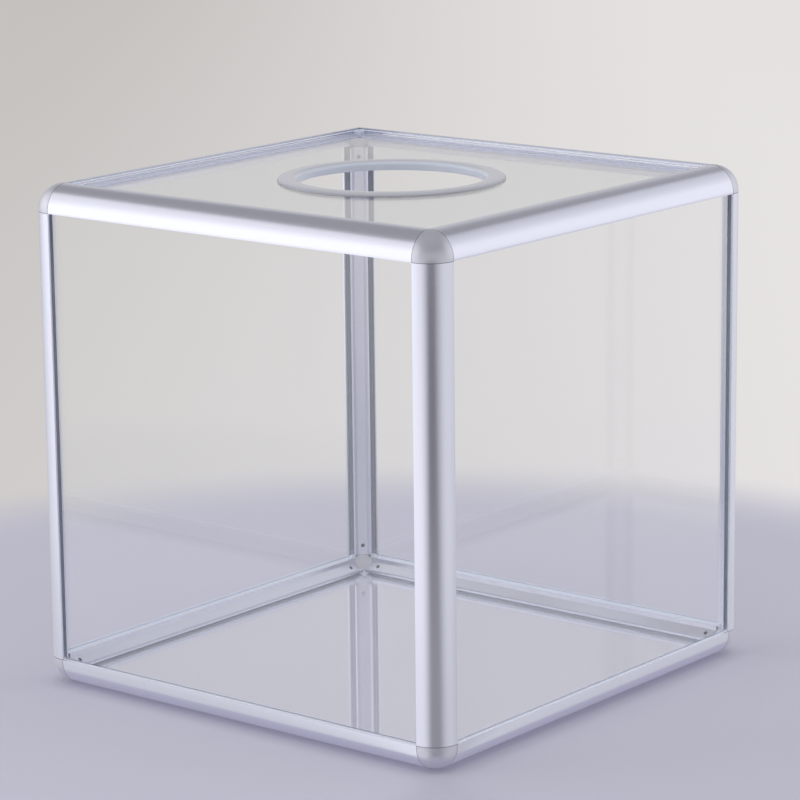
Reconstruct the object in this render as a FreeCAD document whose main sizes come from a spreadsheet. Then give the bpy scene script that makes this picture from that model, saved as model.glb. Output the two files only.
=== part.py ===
import FreeCAD, Part
import math
import os
import Sketcher

# Knock-down raffle box: twelve quarter-round aluminium bars, eight plastic corner
# connectors, six clear panels and a ring round the hand hole in the top panel.
# Millimetres, origin under the middle of the box on the table, +Z up, front at -Y.

doc = FreeCAD.newDocument("raffle_box")
sheet = doc.addObject("Spreadsheet::Sheet", "Sizes")

SIZES = [
    ("box_length", 300.0, "outside, left to right"),
    ("box_depth", 300.0, "outside, front to rear"),
    ("box_height", 300.0, "outside, table to top"),
    ("profile_width", 16.0, "a bar, across either of its outer sides"),
    ("face_land", 1.0, "flat along each outer side, from the lip to the round"),
    ("wall_thickness", 1.4, "curved outer wall of a bar"),
    ("web_thickness", 1.2, "inner web and slot floors of a bar"),
    ("lip_thickness", 1.3, "inner lip of a panel slot"),
    ("lip_setback", 1.3, "how far an inner lip stops short of the outer one"),
    ("lip_reach", 2.6, "inner lip from its tip to the web"),
    ("floor_setback", 2.7, "from the inner face of one slot's lip back to the other slot's floor"),
    ("panel_thickness", 3.0, "clear sheet"),
    ("panel_recess", 3.2, "from the outside of the box to a panel's outer face"),
    ("panel_gap", 0.3, "between a panel and the inner lip, and in a connector"),
    ("panel_end_gap", 0.5, "from a panel's edge to the floor of its slot"),
    ("prong_length", 18.0, "connector prong inside a bar"),
    ("prong_clearance", 0.2, "all round a prong in its chamber"),
    ("screw_hole", 2.5, "thread of a grub screw, through the web of a bar"),
    ("screw_inset", 6.5, "from a bar's end to its screw hole"),
    ("hand_hole_bore", 110.0, "clear diameter through the ring"),
    ("ring_wall", 2.0, "sleeve of the ring"),
    ("ring_fit", 0.3, "between the sleeve and the hole in the top panel"),
    ("ring_overlap", 9.7, "flange of the ring, beyond the hole in the panel"),
    ("ring_height", 2.3, "flange above the top panel"),
    ("ring_drop", 0.4, "sleeve below the top panel"),
    ("ring_edge", 1.8, "rounding of the flange's outer edge"),
    ("ring_mouth", 0.8, "bevel of the bore's upper edge"),
]


# A Size carries a number together with the formula of sheet cells that gives it.
class Size:
    def __init__(self, number, formula):
        self.number = number
        self.formula = formula

    def __add__(self, other):
        other = as_size(other)
        return Size(self.number + other.number, f"({self.formula} + {other.formula})")

    def __sub__(self, other):
        other = as_size(other)
        return Size(self.number - other.number, f"({self.formula} - {other.formula})")

    def __mul__(self, other):
        other = as_size(other)
        return Size(self.number * other.number, f"({self.formula} * {other.formula})")

    def __truediv__(self, other):
        other = as_size(other)
        return Size(self.number / other.number, f"({self.formula} / {other.formula})")

    def __neg__(self):
        return self * -1


def as_size(value):
    return value if isinstance(value, Size) else Size(float(value), repr(float(value)))


for row, (alias, number, note) in enumerate(SIZES, start=1):
    sheet.set(f"A{row}", alias)
    sheet.set(f"B{row}", repr(number))
    sheet.setAlias(f"B{row}", alias)
    sheet.set(f"C{row}", note)
doc.recompute()


def size(alias):
    return Size(float(sheet.get(alias)), f"Sizes.{alias}")


nothing = as_size(0)


def bind(thing, path, value):
    thing.setExpression(path, as_size(value).formula)


# Section of a bar, measured from where the two planes of its slots' mouths meet:
# x and y point out to the two sides of the box that the bar joins.
width = size("profile_width")
land = size("face_land")
outer_round = width - land
inner_round = outer_round - size("wall_thickness")
inner_side = width - size("wall_thickness")
panel_outer = width - size("panel_recess")
panel_inner = panel_outer - size("panel_thickness")
lip_outer = panel_inner - size("panel_gap")
lip_inner = lip_outer - size("lip_thickness")
lip_tip = size("lip_setback")
web_start = lip_tip + size("lip_reach")
slot_floor = lip_inner - size("floor_setback")
panel_bite = slot_floor - size("panel_end_gap")
chamber_side = slot_floor + size("web_thickness")
web_span = lip_inner + web_start
chamber_diagonal = web_span + size("web_thickness") * math.sqrt(2)
web_face = web_span / math.sqrt(2)

half_length = size("box_length") / 2
half_depth = size("box_depth") / 2
corner_x = half_length - width
corner_y = half_depth - width
corner_low = width
corner_high = size("box_height") - width
bar_x = corner_x * 2
bar_y = corner_y * 2
bar_z = corner_high - corner_low

hole_radius = size("hand_hole_bore") / 2 + size("ring_wall") + size("ring_fit")


def on_round(radius, offset):
    """Other coordinate of the point of a bar's round at this offset."""
    run = offset - land
    number = math.sqrt(radius.number ** 2 - run.number ** 2)
    return land + Size(number, f"sqrt({radius.formula} ^ 2 - {run.formula} ^ 2)")


# Sketch outlines: a corner is (x, y, which of the two is held) and, where the stretch
# to the next corner follows a bar's round, the radius of that round.
def draw_outline(sketch, corners):
    first = sketch.GeometryCount
    following = corners[1:] + corners[:1]
    ends = []
    for corner, next_corner in zip(corners, following):
        start, stop = [FreeCAD.Vector(x.number, y.number, 0)
                       for x, y, *rest in (corner, next_corner)]
        forwards = True
        if len(corner) == 4:
            centre = FreeCAD.Vector(land.number, land.number, 0)
            turns = [math.atan2(point.y - centre.y, point.x - centre.x)
                     for point in (start, stop)]
            circle = Part.Circle(centre, FreeCAD.Vector(0, 0, 1), corner[3].number)
            sketch.addGeometry(Part.ArcOfCircle(circle, min(turns), max(turns)), False)
            forwards = turns[0] < turns[1]
        else:
            sketch.addGeometry(Part.LineSegment(start, stop), False)
        ends.append((1, 2) if forwards else (2, 1))

    for index, (x, y, held, *rounds) in enumerate(corners):
        piece = first + index
        after = (index + 1) % len(corners)
        start_end, stop_end = ends[index]
        sketch.addConstraint(Sketcher.Constraint(
            "Coincident", piece, stop_end, first + after, ends[after][0]))
        for letter, value, axis in (("x", x, -2), ("y", y, -1)):
            if letter not in held:
                continue
            if value.number == 0:
                sketch.addConstraint(
                    Sketcher.Constraint("PointOnObject", piece, start_end, axis))
            else:
                hold_distance(sketch, "Distance" + letter.upper(), piece, start_end, value)
        for radius in rounds:
            hold_distance(sketch, "DistanceX", piece, 3, land)
            hold_distance(sketch, "DistanceY", piece, 3, land)
            hold_radius(sketch, piece, radius)


def hold_distance(sketch, kind, piece, end, value):
    place = sketch.addConstraint(
        Sketcher.Constraint(kind, -1, 1, piece, end, value.number))
    bind(sketch, f"Constraints[{place}]", value)


def hold_radius(sketch, piece, value):
    place = sketch.addConstraint(Sketcher.Constraint("Radius", piece, value.number))
    bind(sketch, f"Constraints[{place}]", value)


def draw_circle(sketch, x, y, circle_radius):
    centre = FreeCAD.Vector(x.number, y.number, 0)
    circle = Part.Circle(centre, FreeCAD.Vector(0, 0, 1), circle_radius.number)
    piece = sketch.addGeometry(circle, False)
    hold_radius(sketch, piece, circle_radius)
    for kind, value, axis in (("DistanceX", x, -2), ("DistanceY", y, -1)):
        if value.number == 0:
            sketch.addConstraint(Sketcher.Constraint("PointOnObject", piece, 3, axis))
        else:
            hold_distance(sketch, kind, piece, 3, value)


def draw_rectangle(sketch, width, height):
    """Rectangle about the origin."""
    left, right = width / -2, width / 2
    low, high = height / -2, height / 2
    draw_outline(sketch, [(x, y, "xy") for x, y in
                          ((left, low), (right, low), (right, high), (left, high))])


# Bodies, sketches and features
def new_body(label):
    body = doc.addObject("PartDesign::Body", label)
    body.Label = label
    return body


def new_sketch(body, name, plane_role, turn=None):
    sketch = body.newObject("Sketcher::SketchObject", f"{body.Label}_{name}")
    plane = [item for item in body.Origin.OriginFeatures if item.Role == plane_role][0]
    sketch.AttachmentSupport = [(plane, "")]
    sketch.MapMode = "FlatFace"
    if turn is not None:
        sketch.AttachmentOffset = FreeCAD.Placement(FreeCAD.Vector(), turn)
    return sketch


def extrude(body, kind, name, sketch, length, other_way=False):
    feature = body.newObject(f"PartDesign::{kind}", f"{body.Label}_{name}")
    feature.Profile = sketch
    feature.Type = 0
    bind(feature, "Length", length)
    feature.Reversed = other_way
    return feature


def place(thing, x, y, z, rotation=FreeCAD.Rotation()):
    thing.Placement = FreeCAD.Placement(FreeCAD.Vector(), rotation)
    for path, value in (("x", x), ("y", y), ("z", z)):
        bind(thing, f"Placement.Base.{path}", value)


def turned(x_axis, y_axis, z_axis):
    """Rotation onto these axes, with x and y swapped where that keeps it right-handed."""
    x_axis, y_axis, z_axis = [FreeCAD.Vector(*axis) for axis in (x_axis, y_axis, z_axis)]
    if x_axis.cross(y_axis).dot(z_axis) < 0:
        x_axis, y_axis = y_axis, x_axis
    return FreeCAD.Rotation(x_axis, y_axis, z_axis, "ZXY")


nodes = []

# Bar: outline with its two panel slots, and the chamber that takes a prong
bar_outline = [
    (width, nothing, "xy"),
    (width, land, "y", outer_round),
    (land, width, "x"),
    (nothing, width, "xy"),
    (nothing, inner_side, "xy"),
    (land, inner_side, "x", inner_round),
    (slot_floor, on_round(inner_round, slot_floor), "x"),
    (slot_floor, lip_outer, "xy"),
    (lip_tip, lip_outer, "xy"),
    (lip_tip, lip_inner, "xy"),
    (web_start, lip_inner, "xy"),
    (lip_inner, web_start, "xy"),
    (lip_inner, lip_tip, "xy"),
    (lip_outer, lip_tip, "xy"),
    (lip_outer, slot_floor, "xy"),
    (on_round(inner_round, slot_floor), slot_floor, "y", inner_round),
    (inner_side, land, "y"),
    (inner_side, nothing, "xy"),
]


def chamber_outline(clearance):
    """Chamber of a bar, or the prong that fits it with this clearance all round."""
    side = chamber_side + clearance
    rim = inner_round - clearance
    corner = chamber_diagonal + clearance * math.sqrt(2) - side
    return [
        (side, corner, "xy"),
        (side, on_round(rim, side), "x", rim),
        (on_round(rim, side), side, "y"),
        (corner, side, "xy"),
    ]


def make_bar(label, length, rotation, x, y, z):
    body = new_body(label)
    section = new_sketch(body, "section", "XY_Plane")
    draw_outline(section, bar_outline)
    draw_outline(section, chamber_outline(nothing))
    extrude(body, "Pad", "extrusion", section, length)
    # drilled through the web, square to it, near each end
    drilling = new_sketch(body, "drilling", "YZ_Plane",
                          FreeCAD.Rotation(FreeCAD.Vector(0, 1, 0), 45))
    for height in (size("screw_inset"), length - size("screw_inset")):
        draw_circle(drilling, nothing, height, size("screw_hole") / 2)
    extrude(body, "Pocket", "screw_holes", drilling,
            web_face + size("web_thickness") * 2, other_way=True)
    place(body, x, y, z, rotation)
    nodes.append(body)


SIDES = {"front": -1, "rear": 1, "left": -1, "right": 1, "bottom": -1, "top": 1}
LEVELS = {"bottom": corner_low, "top": corner_high}

for depth_name in ("front", "rear"):
    for width_name in ("left", "right"):
        across_x = SIDES[width_name]
        across_y = SIDES[depth_name]
        make_bar(f"{depth_name}_{width_name}_post", bar_z,
                 turned((across_x, 0, 0), (0, across_y, 0), (0, 0, 1)),
                 corner_x * across_x, corner_y * across_y, corner_low)

for level_name, level in LEVELS.items():
    up = SIDES[level_name]
    for depth_name in ("front", "rear"):
        across_y = SIDES[depth_name]
        make_bar(f"{level_name}_{depth_name}_rail", bar_x,
                 turned((0, across_y, 0), (0, 0, up), (1, 0, 0)),
                 -corner_x, corner_y * across_y, level)
    for width_name in ("left", "right"):
        across_x = SIDES[width_name]
        make_bar(f"{level_name}_{width_name}_rail", bar_y,
                 turned((0, 0, up), (across_x, 0, 0), (0, 1, 0)),
                 corner_x * across_x, -corner_y, level)


# Corner connector: a block whose three outer edges carry on the bars' round, cut flat
# inside the box, with a pocket for the corner of each panel and a prong for each bar
def outer_edges(shape, side):
    """Names of the three edges that meet at the block's outer corner."""
    corner = FreeCAD.Vector(side, side, side)
    return [f"Edge{number}" for number, edge in enumerate(shape.Edges, start=1)
            if any(vertex.Point.isEqual(corner, 1e-6) for vertex in edge.Vertexes)]


def make_connector(label, rotation, x, y, z):
    body = new_body(label)
    block = body.newObject("PartDesign::AdditiveBox", f"{label}_block")
    for side in ("Length", "Width", "Height"):
        bind(block, side, width)
    doc.recompute()
    rounding = body.newObject("PartDesign::Fillet", f"{label}_round")
    rounding.Base = (block, outer_edges(block.Shape, width.number))
    bind(rounding, "Radius", outer_round)

    flat = new_sketch(body, "inner_flat", "XY_Plane",
                      FreeCAD.Rotation(FreeCAD.Vector(0, 0, 1), FreeCAD.Vector(1, 1, 1)))
    draw_circle(flat, nothing, nothing, width)
    extrude(body, "Pocket", "inner_face", flat, web_span / math.sqrt(3), other_way=True)

    reach = panel_bite + size("panel_gap")
    pocket_low = panel_inner - size("panel_gap") / 2
    pocket_high = panel_outer + size("panel_gap") / 2
    for axis, name in enumerate(("x", "y", "z")):
        pocket = body.newObject("PartDesign::SubtractiveBox", f"{label}_panel_pocket_{name}")
        for other, side in enumerate(("Length", "Width", "Height")):
            bind(pocket, side, pocket_high - pocket_low if other == axis else reach * 2)
        places = [pocket_low if other == axis else -reach for other in range(3)]
        for letter, value in zip("xyz", places):
            bind(pocket, f"Placement.Base.{letter}", value)

    prong_planes = (("XY_Plane", True), ("XZ_Plane", False), ("YZ_Plane", True))
    for plane_role, other_way in prong_planes:
        section = new_sketch(body, "prong_" + plane_role[:2], plane_role)
        draw_outline(section, chamber_outline(size("prong_clearance")))
        extrude(body, "Pad", "prong_pad_" + plane_role[:2], section,
                size("prong_length"), other_way)

    place(body, x, y, z, rotation)
    return body


# the two connectors at the ends of a front or rear rail make one node
for level_name, level in LEVELS.items():
    up = SIDES[level_name]
    for depth_name in ("front", "rear"):
        across_y = SIDES[depth_name]
        pair = doc.addObject("Part::Compound", f"{level_name}_{depth_name}_connectors")
        pair.Links = [
            make_connector(f"{level_name}_{depth_name}_{width_name}_connector",
                           turned((SIDES[width_name], 0, 0), (0, across_y, 0), (0, 0, up)),
                           corner_x * SIDES[width_name], corner_y * across_y, level)
            for width_name in ("left", "right")]
        nodes.append(pair)


# Panels: clear sheets whose edges sit in the bars' slots; a panel's sketch lies on
# its outer face and the sheet is thickened inwards
def make_panel(label, width, height, rotation, x, y, z, hole=None):
    body = new_body(label)
    outline = new_sketch(body, "outline", "XY_Plane")
    draw_rectangle(outline, width, height)
    if hole is not None:
        draw_circle(outline, nothing, nothing, hole)
    extrude(body, "Pad", "sheet", outline, size("panel_thickness"), other_way=True)
    place(body, x, y, z, rotation)
    nodes.append(body)


panel_x = bar_x + panel_bite * 2
panel_y = bar_y + panel_bite * 2
panel_z = bar_z + panel_bite * 2
middle = size("box_height") / 2

for name in ("front", "rear"):
    way = SIDES[name]
    make_panel(f"{name}_panel", panel_x, panel_z,
               FreeCAD.Rotation(FreeCAD.Vector(-way, 0, 0), FreeCAD.Vector(0, 0, 1),
                                FreeCAD.Vector(0, way, 0), "ZXY"),
               nothing, (half_depth - size("panel_recess")) * way, middle)
for name in ("left", "right"):
    way = SIDES[name]
    make_panel(f"{name}_panel", panel_y, panel_z,
               FreeCAD.Rotation(FreeCAD.Vector(0, way, 0), FreeCAD.Vector(0, 0, 1),
                                FreeCAD.Vector(way, 0, 0), "ZXY"),
               (half_length - size("panel_recess")) * way, nothing, middle)
make_panel("bottom_panel", panel_x, panel_y,
           FreeCAD.Rotation(FreeCAD.Vector(1, 0, 0), 180),
           nothing, nothing, size("panel_recess"))
top_face = size("box_height") - size("panel_recess")
make_panel("top_panel", panel_x, panel_y, FreeCAD.Rotation(),
           nothing, nothing, top_face, hole_radius)


# Ring: a flanged sleeve, turned about the middle of the hole, flange on the panel; its
# round outer edge is two short cones
ring = new_body("hand_hole_ring")
bore = size("hand_hole_bore") / 2
sleeve = bore + size("ring_wall")
flange = hole_radius + size("ring_overlap")
ring_top = size("ring_height")
ring_bottom = -(size("panel_thickness") + size("ring_drop"))
edge = size("ring_edge")
edge_step = edge * (1 - math.cos(math.pi / 4))
mouth = size("ring_mouth")
ring_section = new_sketch(ring, "section", "XZ_Plane")
draw_outline(ring_section, [(radius, height, "xy") for radius, height in (
    (bore, ring_bottom),
    (sleeve, ring_bottom),
    (sleeve, nothing),
    (flange, nothing),
    (flange, ring_top - edge),
    (flange - edge_step, ring_top - edge_step),
    (flange - edge, ring_top),
    (bore + mouth, ring_top),
    (bore, ring_top - mouth),
)])
turning = ring.newObject("PartDesign::Revolution", "hand_hole_ring_turning")
turning.Profile = ring_section
turning.ReferenceAxis = (ring_section, ["V_Axis"])
turning.Angle = 360
place(ring, nothing, nothing, top_face)
nodes.append(ring)

doc.recompute()
for thing in doc.Objects:
    if "Invalid" in thing.State or "Error" in thing.State:
        raise RuntimeError(f"{thing.Name} failed: {thing.State}")
for node in nodes:
    if node.Shape.isNull() or not node.Shape.isValid():
        raise RuntimeError(f"{node.Label} has no valid shape")

os.makedirs("parts", exist_ok=True)
for node in nodes:
    node.Shape.exportStep(f"parts/{node.Label}.step")
print(len(nodes), "nodes written")
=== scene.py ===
import math

import bmesh
import bpy
from mathutils import Matrix, Vector


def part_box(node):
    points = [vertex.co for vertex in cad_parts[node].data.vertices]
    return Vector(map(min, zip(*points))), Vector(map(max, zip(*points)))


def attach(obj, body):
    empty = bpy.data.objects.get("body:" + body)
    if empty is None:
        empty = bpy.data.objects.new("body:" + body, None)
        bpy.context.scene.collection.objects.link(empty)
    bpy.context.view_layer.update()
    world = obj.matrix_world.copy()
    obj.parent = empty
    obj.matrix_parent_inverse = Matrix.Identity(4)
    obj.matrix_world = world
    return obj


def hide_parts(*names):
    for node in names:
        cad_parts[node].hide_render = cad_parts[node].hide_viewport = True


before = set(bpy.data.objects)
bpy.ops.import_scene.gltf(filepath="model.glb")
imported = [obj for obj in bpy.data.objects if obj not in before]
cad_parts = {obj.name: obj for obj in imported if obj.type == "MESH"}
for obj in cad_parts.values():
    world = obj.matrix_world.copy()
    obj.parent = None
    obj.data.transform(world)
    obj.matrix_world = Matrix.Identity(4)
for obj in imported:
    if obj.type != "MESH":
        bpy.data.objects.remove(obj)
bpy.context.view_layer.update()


# Where the box is seen from: a long lens, a little above the lid, turned to the box's
# nearest upright edge.
camera_place = Vector((1.2565, -1.5545, 0.6155))
camera_azimuth = math.radians(38.85)
camera_elevation = math.radians(12.72)
camera_roll = math.radians(-0.65)
camera_lens_mm = 155.5


def camera_axes(azimuth, elevation, roll):
    """Right, up and back of a camera that looks at the box from this side."""
    back = Vector((math.sin(azimuth) * math.cos(elevation),
                   -math.cos(azimuth) * math.cos(elevation),
                   math.sin(elevation)))
    right = Vector((math.cos(azimuth), math.sin(azimuth), 0))
    up = back.cross(right)
    turned_right = right * math.cos(roll) + up * math.sin(roll)
    turned_up = up * math.cos(roll) - right * math.sin(roll)
    return turned_right, turned_up, back


lens = bpy.data.cameras.new("camera")
lens.sensor_width = 36
lens.lens = camera_lens_mm
camera = bpy.data.objects.new("camera", lens)
bpy.context.scene.collection.objects.link(camera)
axes = Matrix(camera_axes(camera_azimuth, camera_elevation, camera_roll)).transposed()
camera.matrix_world = Matrix.Translation(camera_place) @ axes.to_4x4()
bpy.context.scene.camera = camera
bpy.context.scene.view_settings.view_transform = "Standard"


# Table that the box stands on: a wide plain board, pale lavender grey, that fades into a paler
# wall farther off. Whatever sees it directly, in glass or in metal sees it evenly lit.
table_reach = 6.0
table_colour = (0.63, 0.625, 0.735, 1)
table_worn = (0.60, 0.595, 0.705, 1)
table_glow = (0.51, 0.50, 0.61, 1)
wall_glow_left = (0.60, 0.58, 0.55, 1)
wall_glow_right = (0.86, 0.83, 0.82, 1)
wall_fade = (0.37, 0.53)
wall_direction = (0.779, 0.627)
wall_span = (-0.6, 0.5)
glow_near = 0.15
glow_farther = 0.7
glow_near_in_gloss = 0.45


class Signal:
    """An output of a shader node. Arithmetic on it adds Math nodes."""

    def __init__(self, finish, socket):
        self.finish = finish
        self.socket = socket

    def maths(self, operation, *operands):
        return self.finish.maths(operation, *operands)

    def __add__(self, other):
        return self.maths("ADD", self, other)

    def __sub__(self, other):
        return self.maths("SUBTRACT", self, other)

    def __rsub__(self, other):
        return self.maths("SUBTRACT", other, self)

    def __mul__(self, other):
        return self.maths("MULTIPLY", self, other)

    def __truediv__(self, other):
        return self.maths("DIVIDE", self, other)

    def __lt__(self, other):
        return self.maths("LESS_THAN", self, other)

    def __gt__(self, other):
        return self.maths("GREATER_THAN", self, other)

    def __abs__(self):
        return self.maths("ABSOLUTE", self)

    def at_most(self, other):
        return self.maths("MINIMUM", self, other)

    def at_least(self, other):
        return self.maths("MAXIMUM", self, other)

    __radd__ = __add__
    __rmul__ = __mul__


class Finish:
    """A material, put together node by node."""

    def __init__(self, name):
        self.material = bpy.data.materials.new(name)
        self.material.use_nodes = True
        self.tree = self.material.node_tree
        self.tree.nodes.clear()

    def node(self, kind, settings, inputs, output=0):
        made = self.tree.nodes.new(kind)
        for name, value in settings.items():
            setattr(made, name, value)
        for name, value in inputs.items():
            if isinstance(value, Signal):
                self.tree.links.new(value.socket, made.inputs[name])
            else:
                made.inputs[name].default_value = value
        return Signal(self, made.outputs[output]) if len(made.outputs) else None

    def maths(self, operation, *operands):
        return self.node("ShaderNodeMath", {"operation": operation}, dict(enumerate(operands)))

    def place(self):
        """Where a point is on the box, in metres."""
        return self.node("ShaderNodeTexCoord", {}, {}, "Object")

    def parts(self, vector):
        """x, y and z of a vector."""
        first = self.node("ShaderNodeSeparateXYZ", {}, {0: vector})
        return [Signal(self, output) for output in first.socket.node.outputs]

    def ray(self, kind):
        return self.node("ShaderNodeLightPath", {}, {}, kind)

    def stretched(self, vector, scale):
        return self.node("ShaderNodeVectorMath", {"operation": "MULTIPLY"},
                         {0: vector, 1: scale})

    def noise(self, vector, scale, detail=2.0, roughness=0.5):
        return self.node("ShaderNodeTexNoise", {},
                         {"Vector": vector, "Scale": scale, "Detail": detail,
                          "Roughness": roughness})

    def blend(self, amount, first, second):
        return self.node("ShaderNodeMix", {"data_type": "RGBA"},
                         {"Factor": amount, 6: first, 7: second}, 2)

    def step(self, value, low, high):
        """0 below low, 1 above high, and smooth between."""
        return self.node("ShaderNodeMapRange", {"interpolation_type": "SMOOTHSTEP"},
                         {"Value": value, "From Min": low, "From Max": high})

    def ramp(self, value, stops):
        """Colour of a value from 0 to 1, between these (place, colour) stops."""
        made = self.node("ShaderNodeValToRGB", {}, {0: value})
        band = made.socket.node.color_ramp
        while len(band.elements) < len(stops):
            band.elements.new(1.0)
        for element, (spot, colour) in zip(band.elements, stops):
            element.position = spot
            element.color = colour
        return made

    def bump(self, height, distance, strength=1.0):
        return self.node("ShaderNodeBump", {},
                         {"Height": height, "Distance": distance, "Strength": strength})

    def surface(self, shader):
        self.node("ShaderNodeOutputMaterial", {}, {"Surface": shader})
        return self.material

    def principled(self, inputs):
        return self.node("ShaderNodeBsdfPrincipled", {}, inputs)


def table_finish():
    finish = Finish("pale_table")
    place = finish.place()
    patches = finish.noise(place, 2.5, 3.0)
    x, y = finish.parts(place)[:2]
    distance = finish.node("ShaderNodeVectorMath", {"operation": "LENGTH"}, {0: place}, 1)
    far = finish.step(distance, *wall_fade)
    across = finish.step(x * wall_direction[0] + y * wall_direction[1], *wall_span)
    colour = finish.blend(patches, table_colour, table_worn)
    glow = finish.blend(far, table_glow, finish.blend(across, wall_glow_left, wall_glow_right))
    board = finish.principled({"Base Color": colour, "Roughness": 0.6})
    light = finish.node("ShaderNodeEmission", {}, {"Color": glow})
    in_gloss = finish.ray("Is Glossy Ray")
    seen = finish.ray("Is Camera Ray") + in_gloss + finish.ray("Is Transmission Ray")
    # near the box the table glows brighter in gloss alone: a painted reflection that lightens the
    # lower sides of the bottom bars
    share = (seen.at_most(1) * (glow_near + far * glow_farther)
             + in_gloss * (1 - far) * glow_near_in_gloss)
    surface = finish.surface(finish.node("ShaderNodeMixShader", {},
                                         {0: share, 1: board, 2: light}))
    surface.cycles.emission_sampling = "NONE"
    return surface


def link_mesh(name, mesh_builder, finish):
    mesh = bpy.data.meshes.new(name)
    mesh_builder.to_mesh(mesh)
    mesh_builder.free()
    mesh.materials.append(finish)
    made = bpy.data.objects.new(name, mesh)
    bpy.context.scene.collection.objects.link(made)
    return made


table_mesh = bmesh.new()
bmesh.ops.create_circle(table_mesh, cap_ends=True, segments=96, radius=table_reach)
table = link_mesh("table", table_mesh, table_finish())


# Studio: walls that are pale to shoulder height and dimmer above, a large soft lamp at the
# left, one behind at the right, and one overhead that gloss doesn't show.
wall_colour = (0.62, 0.615, 0.62, 1)
dim_colour = (0.24, 0.24, 0.25, 1)
wall_heights = ((0, wall_colour), (18, wall_colour), (34, dim_colour), (90, dim_colour))
box_middle = (0, 0, 0.15)


class Backdrop(Finish):
    """The world, put together as a finish is."""

    def __init__(self, name):
        self.world = bpy.data.worlds.new(name)
        self.world.use_nodes = True
        self.tree = self.world.node_tree
        self.tree.nodes.clear()

    def surface(self, shader):
        self.node("ShaderNodeOutputWorld", {}, {"Surface": shader})
        return self.world


def studio_walls():
    walls = Backdrop("studio_walls")
    direction = walls.node("ShaderNodeTexCoord", {}, {}, "Generated")
    height = walls.parts(direction)[2]
    colour = walls.ramp(height, [(math.sin(math.radians(elevation)), colour)
                                 for elevation, colour in wall_heights])
    return walls.surface(walls.node("ShaderNodeBackground", {}, {"Color": colour}))


bpy.context.scene.world = studio_walls()


def softbox(name, azimuth, elevation, distance, width, height, brightness, colour=(1, 1, 1),
            in_gloss=True):
    """Lamp that faces the box from this side, with its brightness as a mirror shows it."""
    lamp = bpy.data.lights.new(name, "AREA")
    lamp.shape = "RECTANGLE"
    lamp.size = width
    lamp.size_y = height
    lamp.energy = brightness * math.pi * width * height
    lamp.color = colour
    holder = bpy.data.objects.new(name, lamp)
    right, up, back = camera_axes(math.radians(azimuth), math.radians(elevation), 0)
    turn = Matrix((right, up, back)).transposed().to_4x4()
    holder.matrix_world = Matrix.Translation(Vector(box_middle) + back * distance) @ turn
    holder.visible_glossy = in_gloss
    bpy.context.scene.collection.objects.link(holder)


softbox("lamp_left", azimuth=-50, elevation=20.5, distance=2.2, width=3.0, height=2.3,
        brightness=0.72)
softbox("lamp_rear_right", azimuth=143, elevation=21, distance=2.4, width=2.8, height=2.3,
        brightness=0.46, colour=(0.93, 0.95, 1))
softbox("lamp_overhead", azimuth=0, elevation=89, distance=3.3, width=3.6, height=3.6,
        brightness=1.35, in_gloss=False)


# Reflector: a sheet that lies on the table all round the box and is seen only in gloss. Its
# tones go by azimuth in degrees about the near post, from behind the box round by its left,
# and are brightest at the left and darkest towards the camera.
reflector_inner = 0.152
reflector_outer = 2.6
reflector_height = 0.002
reflector_white = 1.6
reflector_tint = 1.03
reflector_core = 0.30
core_fade = (0.30, 0.80)
contact_tones = (0.38, 0.46, 0.16)
contact_edge = (0.149, 0.154)
contact_fade = (0.20, 0.65)
near_post = (0.14, -0.14)
reflector_tones = ((-180, 0.78), (-140, 0.34), (-120, 0.46), (-80, 0.86), (-50, 1.10),
                   (-4, 1.06), (14, 0.66), (29, 0.03), (50, 0.03), (64, 0.36), (80, 0.68),
                   (97, 0.82), (118, 0.80), (143, 0.64), (160, 0.84), (180, 0.78))


def reflector_finish():
    finish = Finish("reflector")
    x, y = finish.parts(finish.place())[:2]
    turn = finish.maths("ARCTAN2", x - near_post[0], near_post[1] - y) / math.tau + 0.5
    stops = [((azimuth + 180) / 360, [tone / reflector_white] * 3 + [1])
             for azimuth, tone in reflector_tones]
    away = abs(x).at_least(abs(y))
    # the dark core is lighter near the box, and all of it darkens beside the bottom bars, a
    # painted shade that stands for their shadow on the table as gloss sees it
    core = (1 - finish.step(away, *core_fade)) * (reflector_core / reflector_white)
    touching, beside, farther = contact_tones
    contact = (touching + beside * finish.step(away, *contact_edge)
               + farther * finish.step(away, *contact_fade))
    tone = finish.ramp(turn, stops).at_least(core) * contact
    white = (reflector_white, reflector_white, reflector_white * reflector_tint, 1)
    surface = finish.surface(finish.node("ShaderNodeEmission", {}, {
        "Color": finish.blend(tone, (0, 0, 0, 1), white)}))
    surface.cycles.emission_sampling = "NONE"
    return surface


def reflector_mesh():
    """Square sheet with a square opening round the box."""
    mesh = bmesh.new()
    inner, outer = [[mesh.verts.new((x * reach, y * reach, reflector_height))
                     for x, y in ((-1, -1), (1, -1), (1, 1), (-1, 1))]
                    for reach in (reflector_inner, reflector_outer)]
    for side in range(4):
        after = (side + 1) % 4
        mesh.faces.new((inner[side], outer[side], outer[after], inner[after]))
    return mesh


reflector = link_mesh("reflector", reflector_mesh(), reflector_finish())
reflector.visible_camera = False
reflector.visible_diffuse = False
reflector.visible_transmission = False
reflector.visible_shadow = False


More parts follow.
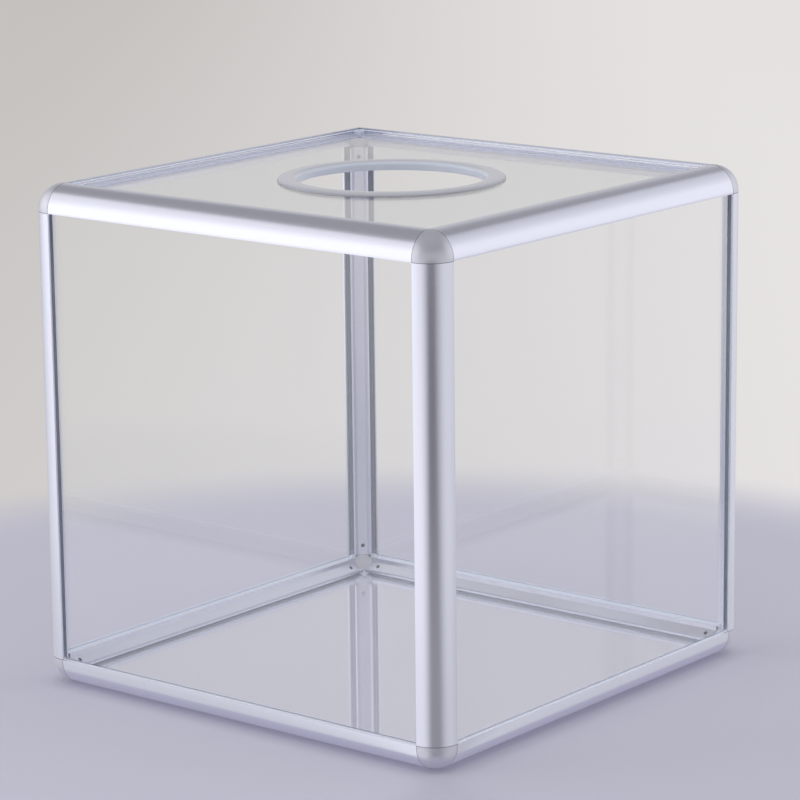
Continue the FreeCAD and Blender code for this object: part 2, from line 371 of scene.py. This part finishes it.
# Bars: extruded aluminium, satin silver anodised, sawn square at both ends and pushed on the
# connectors' prongs. The die leaves faint lines along each bar, and the saw a dark hairline.
aluminium_colour = (0.84, 0.85, 0.955, 1)
aluminium_line = (0.80, 0.81, 0.915, 1)
aluminium_roughness = 0.26
aluminium_metallic = 0.82
line_stretch = 0.01
line_depth = 0.00002
bar_half = 0.134
joint_shade = (0.12, 0.12, 0.16, 1)
joint_width = 0.0003
slot_painted_light_colour = (0.80, 0.85, 0.97, 1)
slot_inner = 0.0094
slot_outer = 0.01515
slot_depth = 0.0052
slot_light = (0.20, 0.205, 0.24, 1)
slot_light_from = 0.0095
no_light = (0, 0, 0, 1)
lid_lip_painted_shade = (0.52, 0.54, 0.64, 1)
lid_height = 0.29
lip_face = 0.0004
bar_names = [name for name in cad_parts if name.endswith(("_post", "_rail"))]


def aluminium_finish(along):
    """Anodised aluminium with its lines along axis 0, 1 or 2."""
    finish = Finish("anodised_along_" + "xyz"[along])
    scale = [1.0, 1.0, 1.0]
    scale[along] = line_stretch
    place = finish.place()
    lines = finish.noise(finish.stretched(place, scale), 2400, 3.0, 0.6)
    cloud = finish.noise(place, 18, 2.0)
    x, y, z = finish.parts(place)
    offsets = [abs(part - middle) for part, middle in zip((x, y, z), box_middle)]
    run = offsets.pop(along)
    joint = finish.step(run, bar_half - joint_width, bar_half)
    # painted light: inside the panel slots the anodising is matt and less metallic, and its colour
    # is painted paler and bluer so that the slots look lit
    across = offsets[0].at_least(offsets[1]) - bar_half
    depth = offsets[0].at_most(offsets[1]) - bar_half
    slot = (across > slot_inner) * (across < slot_outer) * (depth < slot_depth)
    # painted light: the slots glow, standing for the light that the clear panels gather and let
    # out at their edges, in the rails' side slots and round the lid, but not in the slots of the
    # bottom panel or the posts
    lit = slot * (z > slot_light_from) * float(along < 2)
    # painted shade: the outer lips that hold the top panel are painted darker than the rest of
    # their bars
    lip = (across > slot_outer) * (depth < lip_face) * (z > lid_height)
    metal = finish.blend(lines * 0.7 + cloud * 0.3, aluminium_colour, aluminium_line)
    metal = finish.blend(lip, metal, lid_lip_painted_shade)
    roughness = aluminium_roughness + (lines - 0.5) * 0.05
    colour = finish.blend(joint, finish.blend(slot, metal, slot_painted_light_colour), joint_shade)
    return finish.surface(finish.principled({
        "Base Color": colour, "Metallic": aluminium_metallic - slot * 0.7,
        "Roughness": roughness + slot * 0.2, "Normal": finish.bump(lines, line_depth, 0.12),
        "Emission Color": finish.blend(lit, no_light, slot_light), "Emission Strength": 1.0}))


def longest_side(node):
    low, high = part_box(node)
    lengths = list(high - low)
    return lengths.index(max(lengths))


aluminium = [aluminium_finish(along) for along in range(3)]
for name in bar_names:
    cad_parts[name].material_slots[0].material = aluminium[longest_side(name)]


# Corner connectors: moulded grey plastic, satin, with a fine grain. The three prongs of each
# are inside the bars, and a dark hairline shows where it meets each bar.
plastic_colour = (0.70, 0.71, 0.785, 1)
plastic_light = (0.74, 0.75, 0.825, 1)
plastic_metallic = 0.65
plastic_roughness = 0.36
grain_depth = 0.00003
outside_radius = 0.0145


def sorted_offsets(finish, place):
    """How far a point is from the box's middle along each axis, the least first."""
    offsets = [abs(part - middle) for part, middle in zip(finish.parts(place), box_middle)]
    least = offsets[0].at_most(offsets[1]).at_most(offsets[2])
    largest = offsets[0].at_least(offsets[1]).at_least(offsets[2])
    return least, offsets[0] + offsets[1] + offsets[2] - largest - least, largest


def connector_finish():
    finish = Finish("moulded_grey")
    place = finish.place()
    cloud = finish.noise(place, 60, 3.0)
    grain = finish.noise(place, 3500, 2.0)
    least, middle, largest = sorted_offsets(finish, place)
    across = largest - bar_half
    depth = middle - bar_half
    outside = across * across + depth * depth > outside_radius * outside_radius
    joint = outside * (1 - finish.step(least, bar_half, bar_half + joint_width))
    # painted light: the pocket for a panel's corner is matt, painted as pale as the slots, and
    # glows as they do
    pocket = (1 - outside) * (across > slot_inner) * (depth < slot_depth)
    colour = finish.blend(cloud, plastic_colour, plastic_light)
    colour = finish.blend(pocket, colour, slot_painted_light_colour)
    return finish.surface(finish.principled({
        "Base Color": finish.blend(joint, colour, joint_shade),
        "Metallic": plastic_metallic - pocket * 0.55,
        "Roughness": plastic_roughness + cloud * 0.08,
        "Normal": finish.bump(grain, grain_depth, 0.4),
        "Emission Color": finish.blend(pocket, no_light, slot_light), "Emission Strength": 1.0}))


moulded_grey = connector_finish()
for name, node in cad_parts.items():
    if name.endswith("connectors"):
        node.material_slots[0].material = moulded_grey


# Grub screws: blackened steel, with a hexagon socket, sunk in the web of each bar near both
# ends. Each presses on the connector's prong inside the bar.
screw_radius = 0.0012
screw_rim = 0.00095
screw_length = 0.0012
screw_sunk = 0.00012
screw_chamfer = 0.0002
socket_across = 0.0013
socket_depth = 0.0007
socket_cone = 0.0002
screw_inset = 0.0065
screw_colour = (0.26, 0.26, 0.29, 1)
screw_bloom = (0.34, 0.34, 0.37, 1)
web_distance = 0.008556


def screw_finish():
    finish = Finish("blackened_steel")
    bloom = finish.noise(finish.place(), 900, 3.0)
    return finish.surface(finish.principled({
        "Base Color": finish.blend(bloom, screw_colour, screw_bloom),
        "Metallic": 0.9, "Roughness": 0.38 + bloom * 0.15}))


def screw_mesh(corners=24):
    """Screw along +Z with its socket at the lower end, whose face is at z = 0."""
    mesh = bmesh.new()

    def ring(depth, reach):
        return [mesh.verts.new((reach(turn) * math.cos(turn), reach(turn) * math.sin(turn), depth))
                for turn in [math.tau * step / corners for step in range(corners)]]

    def hexagon(turn):
        return socket_across / 2 / math.cos((turn + math.pi / 6) % (math.pi / 3) - math.pi / 6)

    rings = [ring(screw_length, lambda turn: screw_rim),
             ring(screw_length - screw_chamfer, lambda turn: screw_radius),
             ring(screw_radius - screw_rim, lambda turn: screw_radius),
             ring(0, lambda turn: screw_rim),
             ring(0, hexagon),
             ring(socket_depth, hexagon)]
    for first, second in zip(rings, rings[1:]):
        for step in range(corners):
            after = (step + 1) % corners
            mesh.faces.new((first[step], second[step], second[after], first[after]))
    mesh.faces.new(rings[0])
    floor = mesh.verts.new((0, 0, socket_depth + socket_cone))
    for step in range(corners):
        mesh.faces.new((rings[-1][step], floor, rings[-1][(step + 1) % corners]))
    bmesh.ops.recalc_face_normals(mesh, faces=mesh.faces)
    return mesh


def add_screws(bar, finish):
    """A screw near each end of a bar, square to the web that faces the inside of the box."""
    along = longest_side(bar)
    low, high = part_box(bar)
    middle = (low + high) / 2
    outward = Vector([0 if axis == along else math.copysign(1, middle[axis] - box_middle[axis])
                      for axis in range(3)])
    turn = outward.to_track_quat("Z", "X").to_matrix().to_4x4()
    for number, way in ((1, -1), (2, 1)):
        place = Vector(box_middle) + outward * bar_half
        place[along] += way * (bar_half - screw_inset)
        place += outward.normalized() * (web_distance + screw_sunk)
        screw = link_mesh(f"{bar}_screw_{number}", screw_mesh(), finish)
        screw.matrix_world = Matrix.Translation(place) @ turn
        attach(screw, "root")


black_steel = screw_finish()
for name in bar_names:
    add_screws(name, black_steel)


# Panels: clear acrylic sheet, polished, held in the bars' slots. Lamps shine through it, and a
# dark hairline shows where it enters a slot.
sheet_colour = (0.991, 0.995, 0.996, 1)
sheet_dusty = (0.979, 0.986, 0.988, 1)
entry_shade = (0.22, 0.24, 0.32, 1)
entry_start = 0.1334
entry_end = 0.13395
outer_face = 0.1455
acrylic_ior = 1.49
below_lid = 0.28


def acrylic_finish():
    finish = Finish("clear_sheet")
    place = finish.place()
    dust = finish.noise(place, 30, 4.0, 0.6)
    least, edge, largest = sorted_offsets(finish, place)
    # painted shade: a dark hairline on the sheet where it enters a slot, below the lid
    entry = (edge > entry_start) * (edge < entry_end) * (largest > outer_face)
    entry = entry * (finish.parts(place)[2] < below_lid) * 0.9
    colour = finish.blend(dust, sheet_colour, sheet_dusty)
    sheet = finish.principled({
        "Base Color": finish.blend(entry, colour, entry_shade), "Roughness": 0.0,
        "IOR": acrylic_ior, "Transmission Weight": 1.0})
    clear = finish.node("ShaderNodeBsdfTransparent", {}, {"Color": sheet_colour})
    return finish.surface(finish.node("ShaderNodeMixShader", {},
                                      {0: finish.ray("Is Shadow Ray"), 1: sheet, 2: clear}))


clear_sheet = acrylic_finish()
for name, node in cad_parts.items():
    if name.endswith("_panel"):
        node.material_slots[0].material = clear_sheet


# Ring of the hand hole: glossy lavender-grey plastic, moulded in one, with a crowned flange
# that lies on the panel and a short sleeve pushed down through the hole.
ring_turns = 160
ring_bore = 0.055
ring_sleeve = 0.057
ring_flange = 0.067
ring_top = 0.2991
ring_under = 0.29682
ring_bottom = 0.2934
ring_undercut = 0.0007
ring_chamfer = 0.0003
rim_height = ring_under + 0.0003
mouth_width = 0.0045
mouth_depth = 0.0026
crown_width = 0.0052
round_steps = 8
ring_colour = (0.55, 0.555, 0.615, 1)
ring_light = (0.59, 0.595, 0.655, 1)
sleeve_painted_light = (0.76, 0.82, 0.95, 1)
sleeve_band = 0.0025
rim_painted_shade = (0.36, 0.36, 0.42, 1)
rim_band = 0.0016
ring_ior = 1.49


def ring_outline():
    """Radius and height of the ring's section, from the sleeve's outer edge at the bottom."""
    outline = [(ring_sleeve, ring_bottom + ring_chamfer), (ring_sleeve, ring_under),
               (ring_flange - ring_undercut, ring_under)]
    for step in range(round_steps + 1):
        turn = math.pi / 2 * step / round_steps
        outline.append((ring_flange - crown_width * (1 - math.cos(turn)),
                        rim_height + (ring_top - rim_height) * math.sin(turn)))
    for step in range(round_steps + 1):
        turn = math.pi / 2 * (1 - step / round_steps)
        outline.append((ring_bore + mouth_width * (1 - math.cos(turn)),
                        ring_top - mouth_depth * (1 - math.sin(turn))))
    outline += [(ring_bore, ring_bottom + ring_chamfer),
                (ring_bore + ring_chamfer, ring_bottom), (ring_sleeve - ring_chamfer, ring_bottom)]
    return outline


def ring_mesh():
    mesh = bmesh.new()
    outline = ring_outline()
    loops = []
    for step in range(ring_turns):
        turn = math.tau * step / ring_turns
        loops.append([mesh.verts.new((radius * math.cos(turn), radius * math.sin(turn), height))
                      for radius, height in outline])
    for loop, following in zip(loops, loops[1:] + loops[:1]):
        for index in range(len(outline)):
            after = (index + 1) % len(outline)
            mesh.faces.new((loop[index], following[index], following[after], loop[after]))
    bmesh.ops.recalc_face_normals(mesh, faces=mesh.faces)
    for face in mesh.faces:
        face.smooth = True
    return mesh


def ring_finish():
    finish = Finish("ring_grey")
    place = finish.place()
    cloud = finish.noise(place, 40, 3.0)
    x, y = finish.parts(place)[:2]
    radius = finish.maths("SQRT", x * x + y * y)
    # painted light: the thin sleeve is painted lighter and bluer, standing for light from the box
    # that comes through it; painted shade: the flange's rim is painted darker
    sleeve = 1 - finish.step(radius, ring_bore, ring_bore + sleeve_band)
    rim = finish.step(radius, ring_flange - rim_band, ring_flange)
    colour = finish.blend(cloud, ring_colour, ring_light)
    colour = finish.blend(sleeve * 0.8, colour, sleeve_painted_light)
    return finish.surface(finish.principled({
        "Base Color": finish.blend(rim * 0.5, colour, rim_painted_shade),
        "Roughness": 0.13 + cloud * 0.05, "IOR": ring_ior}))


ring = link_mesh("hand_hole_ring_moulded", ring_mesh(), ring_finish())
ring.data.set_sharp_from_angle(angle=math.radians(40))
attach(ring, "root")
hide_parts("hand_hole_ring")
